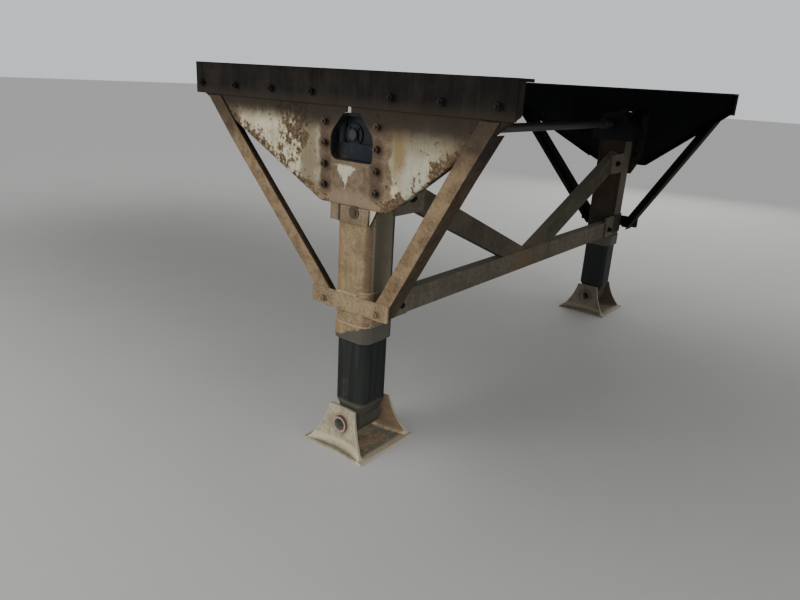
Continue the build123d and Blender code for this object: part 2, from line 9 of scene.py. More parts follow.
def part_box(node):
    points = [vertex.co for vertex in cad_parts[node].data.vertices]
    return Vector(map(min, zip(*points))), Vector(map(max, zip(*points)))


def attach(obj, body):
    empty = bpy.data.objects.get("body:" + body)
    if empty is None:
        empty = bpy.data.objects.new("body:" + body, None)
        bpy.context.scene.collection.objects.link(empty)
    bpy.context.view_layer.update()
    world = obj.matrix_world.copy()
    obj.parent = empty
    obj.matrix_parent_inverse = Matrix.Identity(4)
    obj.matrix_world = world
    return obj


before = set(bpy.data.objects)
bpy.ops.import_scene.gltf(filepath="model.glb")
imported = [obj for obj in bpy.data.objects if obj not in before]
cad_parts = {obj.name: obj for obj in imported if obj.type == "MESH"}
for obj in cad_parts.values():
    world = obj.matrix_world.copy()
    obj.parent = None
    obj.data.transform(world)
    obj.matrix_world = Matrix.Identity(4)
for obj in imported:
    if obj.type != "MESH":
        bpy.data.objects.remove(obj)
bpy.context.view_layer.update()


# Wing plates
# Each leg hangs from a pressed steel plate, painted cream long ago. Road dirt has browned it round
# the bolt rows, painted shade and some soot darken it under the top angle, and rust has come through
# in blotches and along its edges.
class Field:
    """A value that varies over a surface: one socket, used in sums and products like a number."""

    def __init__(self, tree, socket):
        self.tree = tree
        self.socket = socket

    def combine(self, operation, *terms):
        maths = self.tree.nodes.new("ShaderNodeMath")
        maths.operation = operation
        for entry, term in zip(maths.inputs, terms):
            if isinstance(term, Field):
                self.tree.links.new(term.socket, entry)
            else:
                entry.default_value = term
        return Field(self.tree, maths.outputs[0])

    def __add__(self, other):
        return self.combine("ADD", self, other)

    def __radd__(self, other):
        return self.combine("ADD", other, self)

    def __sub__(self, other):
        return self.combine("SUBTRACT", self, other)

    def __rsub__(self, other):
        return self.combine("SUBTRACT", other, self)

    def __mul__(self, other):
        return self.combine("MULTIPLY", self, other)

    def __rmul__(self, other):
        return self.combine("MULTIPLY", other, self)

    def __truediv__(self, other):
        return self.combine("DIVIDE", self, other)

    def __abs__(self):
        return self.combine("ABSOLUTE", self)

    def fraction(self):
        return self.combine("FRACT", self)

    def least(self, other):
        return self.combine("MINIMUM", self, other)

    def most(self, other):
        return self.combine("MAXIMUM", self, other)


class Finish:
    """One surface finish: a material whose colour, roughness and bump are worked out from fields."""

    def __init__(self, name, metallic=0.0, specular=0.4):
        self.material = bpy.data.materials.new(name)
        self.material.use_nodes = True
        self.tree = self.material.node_tree
        self.tree.nodes.clear()
        output = self.tree.nodes.new("ShaderNodeOutputMaterial")
        self.shader = self.tree.nodes.new("ShaderNodeBsdfPrincipled")
        self.shader.inputs["Metallic"].default_value = metallic
        self.shader.inputs["Specular IOR Level"].default_value = specular
        self.tree.links.new(self.shader.outputs[0], output.inputs[0])
        self.where = self.node("ShaderNodeTexCoord", {}, {}, "Object")
        self.facing = self.node("ShaderNodeTexCoord", {}, {}, "Normal")

    def node(self, kind, settings, entries, output=0):
        """Adds a node, makes its settings, then fills its sockets with numbers, colours or fields."""
        made = self.tree.nodes.new(kind)
        for setting, value in settings.items():
            setattr(made, setting, value)
        for entry, value in entries.items():
            if isinstance(value, Field):
                self.tree.links.new(value.socket, made.inputs[entry])
            else:
                made.inputs[entry].default_value = value
        return Field(self.tree, made.outputs[output])

    def along(self, axis, vector=None):
        """The place on the object, in metres, along x, y or z, or that part of another vector."""
        return self.node("ShaderNodeSeparateXYZ", {}, {0: vector or self.where}, "xyz".index(axis))

    def noise(self, scale, stretch=(1, 1, 1), detail=5.0, roughness=0.6, shift=0.0):
        """Cloudy field from 0 to 1. stretch makes it finer along an axis, and shift picks another part."""
        place = self.node(
            "ShaderNodeMapping", {}, {"Vector": self.where, "Location": (shift,) * 3, "Scale": stretch}
        )
        entries = {"Vector": place, "Scale": scale, "Detail": detail, "Roughness": roughness}
        return self.node("ShaderNodeTexNoise", {}, entries)

    def step(self, field, low, high):
        """0 below low, 1 above high and smooth between, or the other way round where low is larger."""
        settings = {"interpolation_type": "SMOOTHSTEP"}
        if low < high:
            return self.node("ShaderNodeMapRange", settings, {0: field, 1: low, 2: high, 3: 0.0, 4: 1.0})
        return self.node("ShaderNodeMapRange", settings, {0: field, 1: high, 2: low, 3: 1.0, 4: 0.0})

    def blend(self, share, first, second):
        """Colour that goes from first to second as share goes from 0 to 1."""
        entries = {0: share}
        for entry, colour in ((6, first), (7, second)):
            entries[entry] = colour if isinstance(colour, Field) else (*colour, 1.0)
        return self.node("ShaderNodeMix", {"data_type": "RGBA"}, entries, 2)

    def painted_shade_and_dirt(self, colour, inboard=0.88, forward=0.5, left=0.0):
        """Colour with painted shade on faces that look inboard or forward, with some black road dirt there.

        left is the share of painted shade on every face of the left leg that doesn't look outboard.
        """
        outboard = self.along("y", self.facing) * self.along("y")
        # The darkening below is painted shade on faces turned from the light, with some road dirt.
        dirt = self.step(outboard, 0.30, -0.30) * inboard
        dirt = dirt.most(self.step(self.along("x", self.facing), 0.35, 0.90) * forward)
        if left:
            dirt = dirt.most(self.step(outboard, 0.70, 0.35) * self.step(self.along("y"), -0.2, 0.2) * left)
        return self.blend(dirt, colour, (0.006, 0.007, 0.008))

    def lying_dust(self, colour, dust, share=0.8):
        """Colour with pale dust on faces that look up."""
        return self.blend(self.step(self.along("z", self.facing), 0.55, 0.90) * share, colour, dust)

    def mottled(self, colour, dark, share=0.35, scale=105):
        """Colour with soft darker grains all over."""
        grain = self.noise(scale, detail=4, roughness=0.7, shift=11.0)
        return self.blend(self.step(grain, 0.40, 0.64) * share, colour, dark)

    def done(self, colour, roughness, relief, depth):
        """Joins the colour, the roughness and a relief of the given depth in metres to the shader."""
        bump = self.node("ShaderNodeBump", {}, {"Strength": 1.0, "Distance": depth, "Height": relief})
        for entry, field in (("Base Color", colour), ("Roughness", roughness), ("Normal", bump)):
            self.tree.links.new(field.socket, self.shader.inputs[entry])
        return self.material


def dress(nodes, material):
    """Gives a finish to pieces of the solid model."""
    for name in nodes:
        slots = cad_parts[name].data.materials
        slots.clear()
        slots.append(material)


def both(*names):
    """The right and the left piece of each name."""
    return [side + name for side in ("right_", "left_") for name in names]


PLATE_FOOT = -0.386
PLATE_FRONT_CORNER = 0.147
PLATE_REAR_CORNER = -0.124
LEG_BOLT_COLUMN = 0.1016
LEG_BOLT_TOP = -0.147
LEG_BOLT_PITCH = 0.0617
LEG_BOLT_MIDDLE = -0.24


def old_cream_paint():
    """Cream paint left in patches over brown dirt, with rust coming through, and painted shade with black
    grease above.
    """
    finish = Finish("old_cream_paint", specular=0.1)
    x, z = finish.along("x"), finish.along("z")
    fine = finish.noise(120, detail=4, roughness=0.7)
    blotch = finish.noise(38, detail=6, roughness=0.68, shift=4.0)
    cloud = finish.noise(12, detail=6, roughness=0.65, shift=7.0)
    runs = finish.noise(1, stretch=(75, 75, 5), detail=4, shift=1.0)
    far = x + (finish.noise(18, detail=6, roughness=0.7) - 0.5) * 0.075
    high = z + (finish.noise(24, detail=6, roughness=0.7, shift=3.0) - 0.5) * 0.06 + (runs - 0.5) * 0.03
    past_front_edge = (z - PLATE_FOOT) * 0.787 - (x - PLATE_FRONT_CORNER) * 0.617
    past_rear_edge = (z - PLATE_FOOT) * 0.893 + (x - PLATE_REAR_CORNER) * 0.449
    from_edge = past_front_edge.least(past_rear_edge)

    # Paint is left behind and ahead of the bolt rows, and in a tooth under the window.
    left = finish.step(far, -0.53, -0.47) * finish.step(far, -0.118, -0.142)
    right = finish.step(far, 0.150, 0.166) * finish.step(far, 0.370, 0.325)
    level = finish.step(high, -0.112, -0.150) * finish.step(high, -0.352, -0.330)
    tooth = (z + 0.326) * 0.66 - abs(x + 0.020)
    drips = (finish.noise(1, stretch=(190, 190, 20), detail=4, shift=2.0) - 0.5) * 0.040
    ragged = (blotch - 0.5) * 0.060
    tooth = finish.step(tooth + drips + ragged, -0.001, 0.004)
    tooth = tooth * finish.step(z + ragged * 0.4, -0.264, -0.272)
    painted = ((left + right) * level).most(tooth)

    # The paint is browned behind the rear bolts, whitish ahead of the front ones, with an ochre run.
    clean = finish.step(runs * 0.5 + cloud * 0.5, 0.38, 0.60)
    cream = finish.blend(clean, (0.42, 0.375, 0.245), (0.66, 0.605, 0.440))
    browned = finish.step(abs(far + 0.170), 0.050, 0.022)
    cream = finish.blend(browned * 0.85, cream, (0.190, 0.150, 0.088))
    whitish = finish.step(abs(far - 0.235), 0.055, 0.025) * finish.step(high, -0.150, -0.215)
    cream = finish.blend(whitish * 0.8, cream, (0.48, 0.46, 0.35))
    stains = finish.step(blotch * 0.5 + runs * 0.5, 0.50, 0.62) * finish.step(far, 0.10, 0.15)
    cream = finish.blend(stains * 0.45, cream, (0.23, 0.215, 0.145))
    dull_corner = finish.step(high, -0.255, -0.180) * finish.step(far, 0.10, 0.15) * 0.9
    # Towards the top the paint is duller, partly with painted shade under the top angle.
    dull = finish.step(far, 0.275, 0.330).most(dull_corner).most(finish.step(high, -0.175, -0.125))
    dull_paint = finish.blend(runs, (0.230, 0.195, 0.118), (0.150, 0.130, 0.082))
    cream = finish.blend(dull * 0.80, cream, dull_paint)
    ochre = finish.step(abs(x + (far - x) * 0.70 - 0.180), 0.036, 0.006) * finish.step(high, -0.310, -0.240)
    ochre_paint = finish.blend(runs, (0.290, 0.200, 0.090), (0.215, 0.145, 0.068))
    cream = finish.blend(ochre * 0.90, cream, ochre_paint)
    cream = finish.blend(tooth * 0.8, cream, (0.54, 0.49, 0.36))

    # Where the paint is gone the steel is brown.
    lighter = finish.step(cloud * 0.5 + blotch * 0.5, 0.38, 0.62)
    brown = finish.blend(lighter, (0.145, 0.105, 0.066), (0.270, 0.203, 0.130))
    brown = finish.blend(finish.step(fine, 0.58, 0.72) * 0.5, brown, (0.10, 0.06, 0.036))
    brown = finish.mottled(brown, (0.115, 0.075, 0.045), 0.5)
    brown = finish.blend(finish.step(z, -0.325, -0.360) * 0.5, brown, (0.345, 0.262, 0.178))
    colour = finish.blend(painted, brown, cream)

    # Rust breaks through in blotches with a halo, most of all high at the rear and along the edges.
    worn = finish.step(abs(far + 0.240), 0.095, 0.035) * finish.step(high, -0.290, -0.22) * 0.105
    border = finish.step(from_edge + (cloud - 0.5) * 0.05, 0.070, 0.0) * 0.12
    spots = finish.noise(62, detail=5, roughness=0.6, shift=5.0)
    rustiness = (blotch * 0.5 + cloud * 0.3 + spots * 0.2) + worn + border - tooth * 0.25 - whitish * 0.05
    rust = finish.step(rustiness, 0.580, 0.605)
    halo = finish.step(rustiness, 0.535, 0.595)
    speckle = finish.step(spots + border * 0.9, 0.640, 0.675) * painted * (1.0 - tooth)
    colour = finish.blend(halo * 0.5, colour, (0.28, 0.185, 0.080))
    rust_brown = finish.blend(finish.step(fine, 0.35, 0.65), (0.075, 0.049, 0.029), (0.185, 0.128, 0.076))
    colour = finish.blend(rust.most(speckle * 0.9), colour, rust_brown)

    # Rings round the leg bolts, and soot beside the window and at both ends. Under the top angle a band of
    # painted shade, with some soot.
    to_column = abs(abs(x) - LEG_BOLT_COLUMN)
    to_bolt = abs(((z - LEG_BOLT_TOP) / LEG_BOLT_PITCH + 0.5).fraction() - 0.5) * LEG_BOLT_PITCH
    round_bolts = to_column * to_column + to_bolt * to_bolt + (fine - 0.5) * 0.0003
    in_rows = finish.step(abs(z - LEG_BOLT_MIDDLE), 0.130, 0.115)
    rust_rings = finish.step(round_bolts, 0.00130, 0.00035) * in_rows
    colour = finish.blend(rust_rings * 0.55, colour, (0.115, 0.068, 0.042))
    round_bolts = finish.step(round_bolts, 0.00060, 0.00010) * in_rows
    beside_window = finish.step(abs(abs(x) - 0.098) + (blotch - 0.5) * 0.03, 0.030, 0.012)
    beside_window = beside_window * finish.step(z, -0.37, -0.33)
    dark = (round_bolts * 0.55).most(beside_window * 0.40)
    reach = finish.step(far, -0.270, -0.180) * 0.022
    # A band under the top angle is darkened: painted shade, with some soot.
    dark = dark.most(finish.step(z * 0.6 + high * 0.4 + reach, -0.172, -0.116) * 0.95)
    dark = dark.most(finish.step(far * 0.9 + high * 0.5, 0.200, 0.300) * 0.88)
    dark = dark.most(finish.step(far, -0.485, -0.570) * 0.75)
    soot_and_shade = finish.blend(fine * 0.6 + cloud * 0.4, (0.026, 0.021, 0.017), (0.075, 0.056, 0.041))
    # The soot colour darkens towards the top: painted shade under the top angle.
    soot_and_shade = finish.blend(finish.step(z, -0.158, -0.112) * 0.6, soot_and_shade, (0.024, 0.019, 0.015))
    colour = finish.blend(dark, colour, soot_and_shade)
    # Painted shade, with some road dirt, on the plate's inboard and forward faces.
    colour = finish.painted_shade_and_dirt(colour, 1.0, 0.5)
    relief = rust * 0.5 + fine * rust * 0.8 + fine * 0.15 + (1.0 - painted) * blotch * 0.4
    return finish.done(colour, 0.68 + rust * 0.22 + dark * 0.15, relief, 0.0012)


dress(both("wing_plate"), old_cream_paint())


# Top angles
# A heavy rolled angle lies over each plate's upper edge and is bolted up to the trailer's frame.
# It is nearly black with old grease and rust, and a row of bolts holds the plate to it.
def blackened_steel(name, dark, light, warm, forward):
    """Steel black with grease, warmed by rust in grains and in a band along its lower edge."""
    finish = Finish(name, specular=0.08)
    fine = finish.noise(90, detail=5, roughness=0.7)
    cloud = finish.noise(9, detail=5, shift=2.0)
    runs = finish.noise(1, stretch=(60, 60, 6), detail=3, shift=4.0)
    colour = finish.blend(finish.step(cloud * 0.6 + runs * 0.4, 0.35, 0.65), dark, light)
    colour = finish.blend(finish.step(fine * 0.55 + cloud * 0.45, 0.55, 0.62) * 0.6, colour, warm)
    lower_band = finish.step(finish.along("z"), -0.062, -0.098)
    colour = finish.blend(lower_band * 0.5, colour, (0.052, 0.039, 0.029))
    # Painted shade, with some road dirt, on faces that look forward.
    colour = finish.painted_shade_and_dirt(colour, 0.0, forward)
    return finish.done(colour, 0.66 + fine * 0.26, fine + cloud * 0.3, 0.0008)


angle_black = blackened_steel(
    "black_brown_angle", (0.012, 0.011, 0.010), (0.026, 0.022, 0.018), (0.045, 0.031, 0.022), 0.3
)
dress(both("top_angle"), angle_black)

TOP_BOLT_LEVEL = -0.067
TOP_BOLTS = [-0.680, -0.505, -0.330, -0.152, 0.150, 0.315, 0.480]


def loops(shape, rings):
    """Joins rings of points into a closed skin, with a flat face on the first and the last ring."""
    rows = [[shape.verts.new(point) for point in ring] for ring in rings]
    for row, following in zip(rows, rows[1:]):
        for k in range(len(row)):
            after = (k + 1) % len(row)
            shape.faces.new((row[k], row[after], following[after], following[k]))
    shape.faces.new(rows[0][::-1])
    shape.faces.new(rows[-1])


def turned(shape, seat, sides, profile):
    """Adds a turned form to shape, about the z of the matrix seat. profile lists radius and height."""
    angles = [2 * math.pi * k / sides for k in range(sides)]
    rings = [[Vector((r * math.cos(a), r * math.sin(a), h)) for a in angles] for r, h in profile]
    loops(shape, [[seat @ point for point in ring] for ring in rings])


def hex_bolt(shape, place, outward, across_flats=0.019, head=0.012, stub=0.006, washer=0.0235):
    """Adds a washer, a nut with worn corners and the bolt's end to shape, facing outward."""
    turn = Vector(outward).to_track_quat("Z", "Y").to_matrix().to_4x4()
    spin = Matrix.Rotation(math.sin(place[0] * 91 + place[2] * 57) * 2, 4, "Z")
    seat = Matrix.Translation(place) @ turn @ spin
    corner = across_flats / math.sqrt(3)
    base = 0.002
    top = base + head
    thread, tip = across_flats * 0.27, across_flats * 0.22
    turned(shape, seat, 24, [(washer / 2, 0.0), (washer / 2, base * 0.6), (washer / 2 - 0.001, base)])
    turned(shape, seat, 6, [(corner, base), (corner, top * 0.88), (corner * 0.85, top)])
    turned(shape, seat, 12, [(thread, top), (thread, top + stub * 0.8), (tip, top + stub)])


def new_object(name, shape, material):
    """Turns the mesh under way into an object with one material."""
    mesh = bpy.data.meshes.new(name)
    shape.to_mesh(mesh)
    shape.free()
    mesh.materials.append(material)
    made = bpy.data.objects.new(name, mesh)
    bpy.context.scene.collection.objects.link(made)
    return made


def new_piece(name, shape, material, body, smooth=False):
    """Turns the mesh under way into a piece that rides on a body and takes a material slot."""
    bmesh.ops.recalc_face_normals(shape, faces=shape.faces)
    piece = new_object(name, shape, material)
    for polygon in piece.data.polygons:
        polygon.use_smooth = smooth
    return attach(piece, body)


def rusty_bolts(name, dark, light, forward=0.92):
    """Bolts of one rusty colour, with painted shade and some dirt on their forward and inboard sides."""
    finish = Finish(name, specular=0.12)
    fine = finish.noise(260, detail=4)
    cloud = finish.noise(30, detail=3)
    colour = finish.blend(fine * 0.5 + cloud * 0.5, dark, light)
    # Painted shade, with some dirt, on forward and inboard sides.
    colour = finish.painted_shade_and_dirt(colour, 0.8, forward)
    return finish.done(colour, 0.70 + fine * 0.25, fine, 0.0006)


def outer_face(node, sign):
    """The y of a solid's outboard face."""
    low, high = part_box(node)
    return sign * max(abs(low.y), abs(high.y))


black_bolts = rusty_bolts("black_bolts", (0.012, 0.011, 0.010), (0.040, 0.032, 0.025))
SIDES = {"right": -1, "left": 1}
for side, sign in SIDES.items():
    bolts = bmesh.new()
    for x in TOP_BOLTS:
        hex_bolt(bolts, Vector((x, outer_face(side + "_top_angle", sign), TOP_BOLT_LEVEL)), (0, sign, 0))
    new_piece(side + "_top_angle_bolts", bolts, black_bolts, "frame")


# Mounting flanges and leg bolts
# A flange welded to each tube stands up beside the gearbox behind the wing plate. Eight bolts
# through plate and flange carry the leg, and a thick pad with a ninth bolt closes its foot.
def dusty_rust(name, dust, brown, dark, forward=0.0, painted_foot_light_and_shade=False):
    """Rusty steel under road dust, with painted shade on faces that look inboard or forward. The last
    argument adds a painted highlight on the foot's front slope and painted shade, with dirt, in the joint
    behind the pad.
    """
    finish = Finish(name, specular=0.25)
    fine = finish.noise(150, detail=5, roughness=0.72)
    cloud = finish.noise(12, detail=5, roughness=0.6, shift=2.0)
    runs = finish.noise(1, stretch=(85, 85, 4), detail=4, shift=6.0)
    colour = finish.blend(finish.step(cloud * 0.7 + runs * 0.3, 0.38, 0.62), dust, brown)
    speckle = finish.step(fine * 0.75 + cloud * 0.25, 0.545, 0.61)
    colour = finish.blend(speckle * 0.65, colour, dark)
    pale = finish.step(finish.noise(42, detail=5, shift=9.0), 0.60, 0.70)
    colour = finish.blend(pale * 0.30, colour, tuple(min(1.0, 1.45 * part) for part in dust))
    colour = finish.mottled(colour, dark, 0.35)
    colour = finish.lying_dust(colour, (0.60, 0.50, 0.34))
    if painted_foot_light_and_shade:
        x, z = finish.along("x"), finish.along("z")
        # A painted highlight on the foot's front slope.
        foot_highlight = finish.step(x, 0.0750, 0.0770) * finish.step(z, -0.375, -0.382)
        colour = finish.blend(foot_highlight * 0.85, colour, (0.62, 0.53, 0.38))
        # Painted shade, with dirt, in the joint behind the pad.
        joint_shade_and_dirt = finish.step(abs(x + 0.043), 0.009, 0.004) * finish.step(z, -0.375, -0.382)
        colour = finish.blend(joint_shade_and_dirt * 0.85, colour, (0.030, 0.022, 0.015))
    # Painted shade, with some road dirt, on faces that look inboard or forward, and on the left leg.
    colour = finish.painted_shade_and_dirt(colour, 0.94, forward, 0.90)
    return finish.done(colour, 0.82 + fine * 0.13, speckle * 0.5 + fine * 0.6 + pale * 0.2, 0.0011)


DARK_RUST = (0.095, 0.062, 0.036)
flange_rust = dusty_rust(
    "flange_rust", (0.26, 0.195, 0.120), (0.19, 0.138, 0.082), DARK_RUST, forward=0.92, painted_foot_light_and_shade=True
)
dress(both("mounting_flange"), flange_rust)


def inner_face(node, sign):
    """The y of a solid's inboard face."""
    low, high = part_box(node)
    return sign * min(abs(low.y), abs(high.y))


def slab(shape, outline, near, far, bevel=0.0012):
    """Adds a plate to shape, between two y places, with the (x, z) outline and softened edges."""
    centre = Vector((sum(x for x, z in outline), sum(z for x, z in outline))) / len(outline)
    inward = [Vector(corner) - (Vector(corner) - centre).normalized() * 1.4 * bevel for corner in outline]
    soft = bevel if far > near else -bevel
    levels = [(inward, near), (outline, near + soft), (outline, far - soft), (inward, far)]
    loops(shape, [[(corner[0], y, corner[1]) for corner in corners] for corners, y in levels])


LEG_BOLT_ROWS = [-LEG_BOLT_COLUMN, LEG_BOLT_COLUMN]
LEG_BOLT_LEVELS = [-0.147, -0.209, -0.270, -0.332]
PAD_THICKNESS = 0.006
PAD_OUTLINE = [(-0.036, -0.3875), (0.0770, -0.3875), (0.0755, -0.4345), (-0.036, -0.4345)]
PAD_BOLT = (0.020, -0.4005)
brown_bolts = rusty_bolts("brown_bolts", (0.050, 0.037, 0.025), (0.16, 0.115, 0.074))
for side, sign in SIDES.items():
    face = outer_face(side + "_wing_plate", sign)
    flange_face = outer_face(side + "_mounting_flange", sign)
    back = inner_face(side + "_mounting_flange", sign)
    bolts = bmesh.new()
    for x in LEG_BOLT_ROWS:
        for z in LEG_BOLT_LEVELS:
            hex_bolt(bolts, Vector((x, face, z)), (0, sign, 0))
            # The two lower rows have their inboard nuts too.
            if z < LEG_BOLT_LEVELS[1]:
                hex_bolt(bolts, Vector((x, back, z)), (0, -sign, 0), stub=0.001)
    pad_face = flange_face + sign * PAD_THICKNESS
    place = Vector((PAD_BOLT[0], pad_face, PAD_BOLT[1]))
    hex_bolt(bolts, place, (0, sign, 0), head=0.004, stub=0.001, washer=0.040)
    new_piece(side + "_leg_bolts", bolts, brown_bolts, "frame")
    pad = bmesh.new()
    slab(pad, PAD_OUTLINE, flange_face, pad_face)
    new_piece(side + "_flange_pad", pad, flange_rust, "frame")


# Gearboxes
# A cast iron housing closes the top of each leg and fills the window in the wing plate. It is
# black with grease that dust has settled on. A bolted cap covers its outboard bearing, and a
# screwed plug in its top is for filling it with grease.
SHAFT_X = -0.020
SHAFT_Z = -0.180


def greasy_black():
    """Cast iron black with grease, dusty in patches, rusty low at the rear and worn grey at the shaft."""
    finish = Finish("greasy_black", specular=0.15)
    fine = finish.noise(70, detail=5, roughness=0.7)
    cloud = finish.noise(16, detail=4, shift=3.0)
    colour = finish.blend(cloud, (0.010, 0.013, 0.017), (0.026, 0.031, 0.037))
    dusty = finish.step(fine * 0.5 + cloud * 0.5, 0.52, 0.68)
    colour = finish.blend(dusty * 0.35, colour, (0.075, 0.066, 0.055))
    z = finish.along("z")
    rusty = finish.step(z + (cloud - 0.5) * 0.06, -0.222, -0.252)
    rusty = rusty * finish.step(finish.along("x"), -0.030, -0.060)
    colour = finish.blend(rusty * 0.7, colour, (0.10, 0.062, 0.042))
    shaft_x, shaft_z = finish.along("x") - SHAFT_X, z - SHAFT_Z
    hub = finish.step(shaft_x * shaft_x + shaft_z * shaft_z, 0.00021, 0.00013)
    worn = finish.blend(fine, (0.040, 0.044, 0.045), (0.105, 0.110, 0.108))
    colour = finish.blend(hub * 0.6, colour, worn)
    # Painted shade, with some road dirt, on faces that look inboard or forward, and on the left leg.
    colour = finish.painted_shade_and_dirt(colour, 0.95, 0.6, 0.92)
    return finish.done(colour, 0.55 + fine * 0.30, fine * 0.6 + cloud, 0.0014)


black_iron = greasy_black()
dress(both("gearbox"), black_iron)

LEG_AXIS = 0.994
BEARING_PAD = 0.052
CAP_BOLT_CIRCLE = 0.0235
PLUG_X = 0.037
PLUG_INBOARD = 0.059
PLUG_BOSS = 0.014
BOSS_RADIUS = 0.026
BOSS_EDGE = 0.002
for side, sign in SIDES.items():
    pad_face = sign * (LEG_AXIS + BEARING_PAD)
    bolts = bmesh.new()
    for k in range(4):
        angle = math.pi / 4 + k * math.pi / 2
        forward, up = CAP_BOLT_CIRCLE * math.cos(angle), CAP_BOLT_CIRCLE * math.sin(angle)
        place = Vector((SHAFT_X + forward, pad_face, SHAFT_Z + up))
        hex_bolt(bolts, place, (0, sign, 0), across_flats=0.008, head=0.003, stub=0.0005, washer=0.009)
    new_piece(side + "_bearing_bolts", bolts, black_iron, "frame")
    plug = bmesh.new()
    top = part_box(side + "_gearbox")[1].z
    seat = Vector((PLUG_X, sign * (LEG_AXIS - PLUG_INBOARD), top))
    edge = [(BOSS_RADIUS, PLUG_BOSS - BOSS_EDGE), (BOSS_RADIUS - BOSS_EDGE, PLUG_BOSS)]
    turned(plug, Matrix.Translation(seat), 32, [(BOSS_RADIUS, -0.001), *edge])
    boss_top = seat + Vector((0, 0, PLUG_BOSS))
    hex_bolt(plug, boss_top, (0, 0, 1), across_flats=0.034, head=0.010, stub=0.001, washer=0.044)
    new_piece(side + "_filler_plug", plug, black_iron, "frame")


# Outer tubes
# Each leg's outer tube is a square steel tube with round corners and a thick collar round its foot.
# It has weathered to a dusty rust brown, and grease has crept out at the collar's front.
def tube_rust():
    """Dusty brown rust, orange at the rear corner, with painted shade on the front one, grey in front,
    greased below.
    """
    finish = Finish("tube_rust", specular=0.12)
    x, z = finish.along("x"), finish.along("z")
    fine = finish.noise(170, detail=5, roughness=0.72)
    cloud = finish.noise(14, detail=5, shift=2.0)
    runs = finish.noise(1, stretch=(60, 60, 4), detail=4, shift=6.0)
    darker = finish.step(cloud * 0.6 + runs * 0.4, 0.38, 0.64)
    colour = finish.blend(darker, (0.340, 0.252, 0.142), (0.245, 0.182, 0.100))
    colour = finish.mottled(colour, (0.125, 0.088, 0.050), 0.35)
    rear_corner = finish.step(x + (cloud - 0.5) * 0.03, -0.030, -0.054)
    colour = finish.blend(rear_corner * 0.7, colour, (0.28, 0.150, 0.064))
    ahead = finish.along("x", finish.facing)
    # Painted shade where the faces turn forward from the lit outboard side.
    front_corner_shade = finish.step(ahead + (cloud - 0.5) * 0.3, 0.25, 0.60)
    colour = finish.blend(front_corner_shade * 0.75, colour, (0.165, 0.105, 0.066))
    front = finish.step(ahead, 0.91, 0.995)
    grey = finish.blend(runs, (0.37, 0.325, 0.225), (0.285, 0.262, 0.190))
    colour = finish.blend(front * 0.9, colour, grey)
    speckle = finish.step(fine * 0.75 + cloud * 0.25, 0.54, 0.61)
    colour = finish.blend(speckle * 0.7, colour, (0.105, 0.070, 0.045))
    pale = finish.step(finish.noise(55, detail=5, shift=9.0), 0.57, 0.68)
    colour = finish.blend(pale * 0.35 * (1.0 - front), colour, (0.44, 0.36, 0.235))
    # Painted shade, with some road dirt, on inboard faces and on the left leg.
    colour = finish.painted_shade_and_dirt(colour, 0.9, 0.0, 0.68)
    edge = z + 0.772 - (x - 0.040) * 0.42 + (finish.noise(40, detail=5, shift=8.0) - 0.5) * 0.028
    smear = finish.step(edge, 0.004, -0.006) * finish.step(z, -0.757, -0.766)
    grease = finish.blend(fine, (0.045, 0.044, 0.037), (0.090, 0.086, 0.070))
    colour = finish.blend(smear * 0.92, colour, grease)
    return finish.done(colour, 0.86 + fine * 0.1 - smear * 0.35, fine * 0.7 + pale * 0.2, 0.0012)


dress(both("outer_tube"), tube_rust())


def weld_bead(shape, path, radius=0.0035, seed=0):
    """Adds a weld bead along a path of points to shape, thin and rippled, half sunk in the corner."""
    random.seed(seed)
    points = []
    for start, end in zip(path, path[1:]):
        run = Vector(end) - Vector(start)
        count = max(1, round(run.length / 0.004))
        points += [Vector(start) + run * k / count for k in range(count)]
    points.append(Vector(path[-1]))
    rings = []
    for k, point in enumerate(points):
        along = (points[min(k + 1, len(points) - 1)] - points[max(k - 1, 0)]).normalized()
        across = along.cross(Vector((0.36, 0.48, 0.8))).normalized()
        other = along.cross(across)
        taper = 0.45 if k in (0, len(points) - 1) else 1.0
        size = radius * taper * (1 + 0.14 * (k % 2) + random.uniform(-0.12, 0.12))
        turns = [math.pi * 2 * j / 7 for j in range(7)]
        rings.append([point + across * size * math.cos(a) + other * size * math.sin(a) for a in turns])
    loops(shape, rings)


def round_square(half, corner, z, sign, steps=6):
    """Closed path round a leg's square tube, outside its round corners."""
    path = []
    for k in range(4):
        middle = math.pi / 4 + k * math.pi / 2
        inset = half - corner
        centre = (math.copysign(inset, math.cos(middle)), math.copysign(inset, math.sin(middle)))
        for j in range(steps + 1):
            angle = k * math.pi / 2 + math.pi / 2 * j / steps
            x = centre[0] + corner * math.cos(angle)
            y = centre[1] + corner * math.sin(angle)
            path.append((x, sign * (LEG_AXIS + y), z))
    return path + path[:1]


TUBE_HALF = 0.070
TUBE_FLAT = 0.039
TUBE_CORNER = 0.031
# How far the path of a bead stands off the tube.
PROUD = 0.001
COLLAR_TOP = -0.765
FLANGE_FOOT_SEAM = -0.437
FLANGE_SIDE_SEAM = (-0.275, -0.425)
weld_rust = dusty_rust("weld_rust", (0.36, 0.285, 0.175), (0.27, 0.195, 0.115), DARK_RUST)
for side, sign in SIDES.items():
    beads = bmesh.new()
    weld_bead(beads, round_square(TUBE_HALF + PROUD, TUBE_CORNER + PROUD, COLLAR_TOP, sign), 0.0032, 1)
    tube_face = sign * (LEG_AXIS + TUBE_HALF)
    seam = [(x, tube_face, FLANGE_FOOT_SEAM) for x in (-TUBE_FLAT, TUBE_FLAT)]
    weld_bead(beads, seam, 0.0035, 2)
    for x in (-1, 1):
        edge = (x * (TUBE_HALF - 0.004), tube_face - sign * 0.012)
        weld_bead(beads, [(*edge, z) for z in FLANGE_SIDE_SEAM], 0.004, 3 + x)
    new_piece(side + "_tube_welds", beads, weld_rust, "frame", smooth=True)


